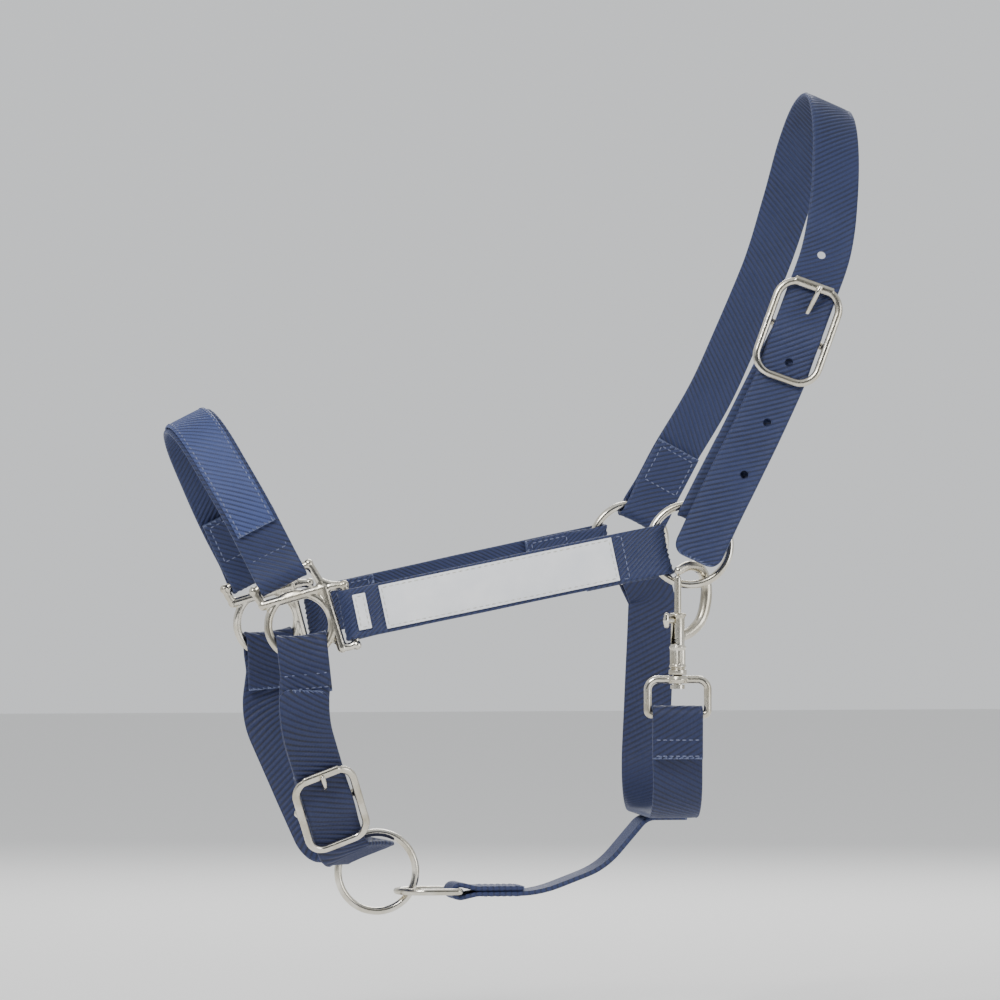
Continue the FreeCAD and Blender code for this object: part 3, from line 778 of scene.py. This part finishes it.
def squareCasting():
    reach = half + square["slack"]
    topA, topB = castTop - noseW * reach, castTop + noseW * reach
    rearA, rearB = castRear + cheekW * reach, castRear - cheekW * reach
    if rearA.z < rearB.z:
        rearA, rearB = rearB, rearA
    innerA, innerB, innerC = [cast(*at) for at in square["inner"]]
    def arc(low, high):
        return [squareC + sideDir(toward(low, high, k / 12)) * wire["cast"] for k in range(13)]
    pieces = [hoop(squareC, sideN, wire["cast"], wire["castWire"]),
              tube(rounded([innerA, topA, topB, innerB], 3.2), square["bar"], True),
              tube(rounded([innerB, rearA, rearB, innerC], 3.2), square["rearBar"], True),
              tube([innerA, innerB], square["innerBar"]), tube([innerB, innerC], square["innerBar"]),
              gusset([innerA, innerB] + arc(58, 152), sideN, square["web"]),
              gusset([innerB, innerC] + arc(-28, 58), sideN, square["web"]),
              tube(eased([topB, cast(7.2, 25.2), cast(10.8, 22.0), cast(14.8, 20.6), rearA], 12), 1.7),
              gusset([innerB, topB, cast(7.2, 25.2), cast(10.8, 22.0), cast(14.8, 20.6), rearA], sideN, 2.6)]
    pieces += [knob(at, square["horn"]) for at in (topA, topB, rearA, rearB)]
    pieces += [knob(at, square["innerBar"]) for at in (innerA, innerB, innerC)]
    return merge("leftSquareCasting", pieces)


castings = {}
castings["left_square"] = squareCasting()
far = castings["left_square"].copy()
far.data = far.data.copy()
far.name = "rightSquareCasting"
bpy.context.scene.collection.objects.link(far)
far.data.transform(Matrix.Scale(-1, 4, (0, 1, 0)))
far.data.flip_normals()
castings["right_square"] = far

buckle = {"bar": 4.0, "thick": 3.4, "tongue": 1.4, "heel": 1.8, "room": 0.5, "topBar": 2.5}
sideLevel = web["ride"] + web["thick"] / 2 + buckle["room"] + buckle["thick"] / 2


def buckleCasting(name, c, s, w, n, heelW, length, width, corner):
    # a rounded frame that stands on two lugs over its heel bar
    hx, hy = (width - buckle["bar"]) / 2, (length - buckle["bar"]) / 2
    top = c + n * sideLevel
    corners = [top + w * (x * hx) + s * (y * hy) for x, y in ((-1, -1), (1, -1), (1, 1), (-1, 1))]
    flat = (top, n, buckle["thick"] / buckle["bar"])
    pieces = [tube(rounded(corners, corner), buckle["bar"] / 2, True, flat),
              tube([top + s * hy - w * (hx - 6), top + s * hy + w * (hx - 6)], buckle["topBar"], False,
                   (top, n, 0.72))]
    for k in (-1, 1):
        foot = c + heelW * (k * hx)
        pieces.append(tube([foot - n * 0.4, foot + n * 3.0, foot + n * sideLevel], [1.7, 1.6, 2.0]))
        pieces.append(knob(foot, 2.2))
    pieces.append(drum(c - heelW * hx, c + heelW * hx, buckle["heel"]))
    return merge(name, pieces, 0.38)


def tongueCasting(name, c, s, w, n, length):
    tip = length / 2 - buckle["bar"] / 2 + 0.5
    top = sideLevel + buckle["thick"] / 2 + buckle["tongue"] + 0.1
    bar = eased([c + s * 3.2 + n * 0.7, c + s * 9.0 + n * 3.2, c + s * (tip - 6.0) + n * (top - 1.5),
                 c + s * (tip - 2.5) + n * (top + 0.1), c + s * tip + n * top], 24)
    count = len(bar)
    radii = [toward(1.6, 1.25, k / (count - 1)) for k in range(count)]
    pieces = [tube(bar, radii), knob(bar[-1], 1.25), hoop(c, w, 2.65, 0.78, 2.8)]
    return merge(name, pieces, 0.3, 2)


# length, width and corner radius
frameSizes = {"crown": (53.0, 36.0, 10.0), "chin": (45.0, 34.5, 8.0)}
castings["crown_buckle_frame"] = buckleCasting("crownBuckleFrame", buckleC, frameS, frameW, sideN, billetW,
                                               *frameSizes["crown"])
castings["crown_buckle_tongue"] = tongueCasting("crownBuckleTongue", buckleC, billetS, billetW, sideN,
                                                frameSizes["crown"][0])
castings["chin_buckle_frame"] = buckleCasting("chinBuckleFrame", chinBuckleC, chinUp, chinMidW, chinOut,
                                              chinMidW, *frameSizes["chin"])
castings["chin_buckle_tongue"] = tongueCasting("chinBuckleTongue", chinBuckleC, chinUp, chinMidW, chinOut,
                                               frameSizes["chin"][0])
print("buckles cast")

# heights are below the point where the bolt meets the hook's tip
trigger = {"barrel": 3.45, "barrelTop": -14.0, "barrelLow": -44.0, "collar": 4.5, "collarTop": -42.0,
           "bead": 3.5, "beadWire": 0.8, "beads": (-40.4, -31.0, -15.0),
           "flutes": 10, "fluteOut": 3.3, "fluteWire": 0.62, "fluteTop": -31.5, "fluteLow": -40.0,
           "bolt": 1.7, "boltLow": -27.0, "boltTop": 3.4, "bore": 1.95, "boreLow": -40.0, "thumb": -17.6,
           "slot": (10.0, 3.8, 14.2), "slotMid": -22.3, "pin": 2.0, "pinLow": -50.6,
           "eyeHalf": 14.9, "eyeTop": -47.0, "eyeLow": -64.5, "eyeCorner": 5.0, "hub": 4.4}
upward = Vector((0, 0, 1))
snapQ = upward.cross(snapP)


def snap(p, z, q=0.0):
    return snapAxis + snapP * p + snapQ * q + upward * z


def snapCasting():
    hook = eased([snap(0, -27), snap(3.2, -25.6), snap(8.2, -23.5), snap(14.9, -18), snap(18.2, -9.5),
                  snap(18.7, 0), snap(15.2, 7.4), snap(7.6, 9.4), snap(0.6, 7.0)], 26)
    count = len(hook)
    radii = [2.2 + 0.75 * math.sin(math.pi * min(1.0, 0.15 + 0.8 * k / (count - 1))) for k in range(count)]
    low, high = trigger["barrelLow"], trigger["barrelTop"]
    pieces = [tube(hook, radii), knob(hook[-1], radii[-1]),
              drum(snap(0, low), snap(0, high), trigger["barrel"]),
              drum(snap(0, low - 0.6), snap(0, trigger["collarTop"]), trigger["collar"]),
              drum(snap(0, trigger["pinLow"]), snap(0, low + 0.4), trigger["pin"])]
    pieces += [hoop(snap(0, z), upward, trigger["bead"], trigger["beadWire"]) for z in trigger["beads"]]
    for k in range(trigger["flutes"]):
        turn = 2 * math.pi * k / trigger["flutes"]
        p, q = trigger["fluteOut"] * math.cos(turn), trigger["fluteOut"] * math.sin(turn)
        pieces.append(tube([snap(p, trigger["fluteLow"], q), snap(p, trigger["fluteTop"], q)],
                           trigger["fluteWire"]))
    bpy.ops.mesh.primitive_cube_add(size=1, location=(0, 0, 0))
    slot = bpy.context.object
    slot.data.transform(Matrix.Translation(snap(-5, trigger["slotMid"]) * mm)
                        @ Matrix((snapP, snapQ, upward)).transposed().to_4x4()
                        @ Matrix.Diagonal((*[size * mm for size in trigger["slot"]], 1)))
    bore = drum(snap(0, trigger["boreLow"]), snap(0, -10), trigger["bore"])
    return merge("snapHookBody", pieces, 0.36, 2, [bore, slot])


def boltCasting():
    # a round bolt with an upright thumb tab
    z = trigger["thumb"]
    pieces = [drum(snap(0, trigger["boltLow"]), snap(0, trigger["boltTop"]), trigger["bolt"]),
              knob(snap(0, trigger["boltTop"] - 0.2), 1.65), tube([snap(0, z), snap(-7.0, z)], 1.5)]
    pieces.append(tube([snap(-7.3, z - 2.6), snap(-7.5, z), snap(-7.3, z + 2.6)], [1.3, 1.7, 1.3]))
    pieces += [knob(snap(-7.3, z - 2.6), 1.3), knob(snap(-7.3, z + 2.6), 1.3)]
    return merge("snapBolt", pieces, 0.3, 1)


def eyePoint(k, z):
    return snapAxis + sideH * (k * trigger["eyeHalf"]) + upward * z


def eyeCasting():
    # square where the webbing turns round it, rounded at the top, with a hub for the pin
    low, top, turn = trigger["eyeLow"], trigger["eyeTop"], trigger["eyeCorner"]
    frameBar = filletPath([(snapAxis + upward * low, 0, 0), (eyePoint(1, low), 2.2, 0),
                           (eyePoint(1, top), turn, 0), (eyePoint(-1, top), turn, 0),
                           (eyePoint(-1, low), 2.2, 0), (snapAxis + upward * low, 0, 0)])
    pieces = [tube([p for p, w in frameBar][:-1], wire["eye"], True),
              drum(snap(0, top - 2.0), snap(0, top + 1.9), trigger["hub"]),
              hoop(snap(0, top), upward, 3.9, 1.1)]
    return merge("snapEye", pieces, 0.36, 3, [drum(snap(0, top - 7), snap(0, top + 7), 2.1)])


def linkWireLoop():
    # one bent wire: a straight bar in the webbing, two sides and a half-round nose through the ring
    barX, level = linkBar.x, linkBar.z
    bendX, reach = barX - 15.3, half + wire["link"] + 0.6
    nose = [Vector((bendX - reach * math.sin(rad(a)), -reach * math.cos(rad(a)), level))
            for a in range(0, 181, 6)]
    sides = filletPath([(Vector((bendX, reach, level)), 0, 0), (Vector((barX, reach, level)), 2.0, 0),
                        (Vector((barX, -reach, level)), 2.0, 0), (Vector((bendX, -reach, level)), 0, 0)])
    loopWire = tube(nose + [p for p, w in sides][1:-1], wire["link"], True)
    loopWire.name = "connectorLinkWire"
    bpy.ops.object.shade_smooth()
    return loopWire


castings["connector_link"] = linkWireLoop()
castings["snap_body"] = snapCasting()
castings["snap_bolt"] = boltCasting()
castings["snap_eye"] = eyeCasting()
print("snap cast")

stitch = {"length": 2.208, "wide": 0.684, "thick": 0.54, "pitch": 3.2, "inset": 1.3}
sewn = {}


def sew(name, rows):
    # rows of (place, direction, normal), each one stitch lying on the webbing
    bpy.ops.object.select_all(action="DESELECT")
    bpy.ops.mesh.primitive_uv_sphere_add(segments=8, ring_count=6, radius=0.5 * mm)
    base = bpy.context.object
    shape = [v.co.copy() for v in base.data.vertices]
    sides = [tuple(f.vertices) for f in base.data.polygons]
    bpy.data.objects.remove(base)
    verts, faces = [], []
    for place, along, normal in rows:
        cross = normal.cross(along).normalized()
        first = len(verts)
        for v in shape:
            verts.append(place * mm + along * (v.x * stitch["length"]) + cross * (v.y * stitch["wide"])
                         + normal * (v.z * stitch["thick"]))
        faces += [tuple(i + first for i in f) for f in sides]
    mesh = bpy.data.meshes.new(name)
    mesh.from_pydata(verts, [], faces)
    mesh.shade_smooth()
    piece = bpy.data.objects.new(name, mesh)
    bpy.context.scene.collection.objects.link(piece)
    return piece


def seam(start, end, normal):
    span = end - start
    count = max(1, int(round(span.length / stitch["pitch"])))
    along = span.normalized()
    return [(start + span * ((k + 0.5) / count), along, normal) for k in range(count)]


def box(c, s, n, w, near, far, front, rear, share=0.78):
    # cross rows and side rows on the outer face and on the face against the horse
    out = []
    edge = w * (half * share)
    for lift, normal in ((front, n), (-rear, -n)):
        a, b = c + s * near + n * lift, c + s * far + n * lift
        out += seam(a - edge, a + edge, normal) + seam(b - edge, b + edge, normal)
        out += seam(a - edge, b - edge, normal) + seam(a + edge, b + edge, normal)
    return out


def acrossRows(rows):
    return [(mirrored(p), mirrored(a), mirrored(n)) for p, a, n in rows]


skin = ply + web["thick"] / 2 + 0.02
flatFront = wire["ringWire"] + web["clear"] + web["thick"] + 0.02
cheekRear = flatFront - 2 * web["thick"] - web["gap"] - 0.04
nearNose = box(castTop, noseS, sideN, noseW, 13.0, 32.5, skin, skin)
foldNear, foldFar = ringSag + 13, ringSag + 32
cheekFore = box(castRear, cheekS, sideN, cheekW, 14, 31, flatFront, -cheekRear, 0.86)
cheekAft = box(ringC - cheekS * (wire["ring"] - ringSag), -cheekS, sideN, cheekW, foldNear, foldFar,
               flatFront, -cheekRear, 0.86)
cheekShown = [row for row in cheekFore + cheekAft if row[2].dot(sideN) < 0
              or (row[0] - ringC).length < 38]
billetBoth = box(ringC + billetS * (wire["ring"] - ringSag), billetS, sideN, billetW, foldNear, foldFar,
                 skin, skin)
crownFar = acrossRows(billetBoth)
billetNear = [row for row in billetBoth if row[2].dot(sideN) < 0]
chinSag = ringDepth(wire["cast"], wire["castWire"])
chinBar = squareC + chinS * (wire["cast"] - chinSag)


def twoRows(c, s, n, w, places, lift):
    out = []
    for at in places:
        mid = c + s * at + n * lift
        out += seam(mid - w * 11.2, mid + w * 11.2, n)
    return out


chinNear = twoRows(chinBar, chinS, sideN, chinW, (chinSag + 9.0, chinSag + 16.0), skin)
throatNear = twoRows(eyeBar, downward, level, sideH, (12.5, 20.5), skin)
throatFar = acrossRows(twoRows(ringC + throatS * (wire["ring"] - ringSag), throatS, sideN, throatW,
                               (foldNear, foldNear + 8), skin))
linkNear = box(linkBar, tailward, downward, across, 12, 31, skin, skin)
sewn["nosebandStitches"] = (nearNose + acrossRows(nearNose), "navy_webbing")
sewn["cheekStitches"] = (cheekShown + acrossRows(cheekShown), "navy_webbing")
sewn["crownStitches"] = (crownFar + billetNear, "navy_webbing")
sewn["chinStitches"] = (chinNear + acrossRows(chinNear), "navy_webbing")
sewn["throatStitches"] = (throatNear + throatFar, "navy_webbing")
sewn["connectorStitches"] = (linkNear, "navy_webbing")

edgeRows = []
faceSamples, faceTotal = facing[1:]
mid = faceSamples[len(faceSamples) // 2]
outward = 1 if mid[3].dot(mid[0] - Vector((-150, 0, -220))) > 0 else -1
for offset in (-8.9, 8.9):
    count = int(faceTotal / stitch["pitch"])
    for k in range(count):
        p, along, w, n = stationAt(faceSamples, faceTotal, (k + 0.5) * stitch["pitch"])
        edgeRows.append((p + w * offset + n * (outward * 2.98), along, n * outward))
sewn["facingStitches"] = (edgeRows, "navy_facing")
print("stitches laid out")

for key, (piece, samples, total) in straps.items():
    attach(piece, "webbing")
    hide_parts(key)
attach(facing[0], "webbing")
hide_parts("noseband_facing")
for piece, node in patches:
    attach(piece, "webbing")
    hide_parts(node)
patchRows = []
for along, (length, width, thick) in patchSizes.values():
    mid = ringC - cheekS * along + sideN * (faceLift + thick + 0.02)
    a, b = cheekS * (length / 2 - stitch["inset"]), cheekUp * (width / 2 - stitch["inset"])
    for start, end in ((-a - b, a - b), (a - b, a + b), (a + b, b - a), (b - a, -a - b)):
        patchRows += seam(mid + start, mid + end, sideN)
sewn["panelStitches"] = (patchRows + acrossRows(patchRows), "white_panel")
for name, (rows, slotName) in sewn.items():
    piece = sew(name, rows)
    piece.data.materials.append(whiteThread if slotName == "white_panel" else navyThread)
    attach(piece, "webbing")
bodies = {"crown_buckle_frame": "crown_buckle", "crown_buckle_tongue": "crown_tongue",
          "chin_buckle_frame": "chin_buckle", "chin_buckle_tongue": "chin_tongue", "snap_body": "snap",
          "snap_bolt": "bolt", "snap_eye": "snap_eye_body",
          "connector_link": "link"}
wireNodes = ("crown_buckle_tongue", "chin_buckle_tongue", "snap_bolt", "connector_link")
for node, piece in castings.items():
    piece.data.materials.clear()
    piece.data.materials.append(wireNickel if node in wireNodes else castNickel)
    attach(piece, bodies.get(node, "webbing"))
    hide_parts(node)
finishes = {"cast_nickel": castNickel, "plated_wire": wireNickel, "spring_steel": springWire}
for part in frame["record"]["subparts"]:
    finish = finishes.get(part["material_slot"])
    if finish and part["node"] not in castings:
        nodes[part["node"]].data.materials.clear()
        nodes[part["node"]].data.materials.append(finish)
print("finishes assigned")

# metres from here on
stageSize = {"floor": -0.47, "across": 12.0}
bpy.ops.mesh.primitive_plane_add(size=1, location=(0, 0, 0))
floor = bpy.context.object
floor.name = "paleFloor"
floor.data.transform(Matrix.Translation((-0.17, 0, stageSize["floor"]))
                     @ Matrix.Scale(stageSize["across"], 4))
paper, paperShader = newMaterial("palePaper")
paperShader.inputs["Base Color"].default_value = hexColor("#f4f3f1")
paperShader.inputs["Roughness"].default_value = 0.9
floor.data.materials.append(paper)

world = bpy.data.worlds.new("softStudio")
world.use_nodes = True
background = world.node_tree.nodes["Background"]
direction = addNode(world, "ShaderNodeTexCoord")
leaning = addNode(world, "ShaderNodeVectorMath", {1: (0.0, 0.8, 0.6)}, {0: direction.outputs["Generated"]},
                  operation="DOT_PRODUCT")
facingWay = addNode(world, "ShaderNodeMapRange", {"From Min": -1.0, "From Max": 1.0},
                    {"Value": leaning.outputs["Value"]})
# pale above and behind the piece, darker in front of it, so plated bars show a light and a dark side
skyStops = [(0.0, "#5b5f66"), (0.3, "#3f4247"), (0.52, "#dfe2e6"), (1.0, "#eef0f2")]
join(world, colorRamp(world, facingWay.outputs["Result"], skyStops), background.inputs["Color"])
background.inputs["Strength"].default_value = 0.95
bpy.context.scene.world = world

# name, place, watts, size
lights = [("key", (-1.1, -1.6, 1.5), 40, 0.7), ("fill", (1.5, -1.5, 0.3), 12, 1.0),
          ("rim", (0.4, 1.5, 0.9), 16, 0.8)]
for name, place, power, size in lights:
    data = bpy.data.lights.new(name, "AREA")
    data.energy, data.size = power, size
    lamp = bpy.data.objects.new(name, data)
    aim = Vector((-0.17, 0, -0.2))
    lamp.location = Vector(place) + aim
    lamp.rotation_euler = (aim - lamp.location).to_track_quat("-Z", "Y").to_euler()
    bpy.context.scene.collection.objects.link(lamp)

camera = {"azimuth": -10.0, "elevation": 0.0, "distance": 4.0, "lens": 285.0}
cameraData = bpy.data.cameras.new("camera")
cameraData.lens = camera["lens"]
cameraData.clip_end = 50
view = bpy.data.objects.new("camera", cameraData)
a, e = rad(camera["azimuth"]), rad(camera["elevation"])
aim = Vector((-0.168, 0, -0.2005))
viewFrom = Vector((math.sin(a) * math.cos(e), -math.cos(a) * math.cos(e), math.sin(e)))
view.location = aim + viewFrom * camera["distance"]
view.rotation_euler = (aim - view.location).to_track_quat("-Z", "Y").to_euler()
bpy.context.scene.collection.objects.link(view)
bpy.context.scene.camera = view
print("stage set")
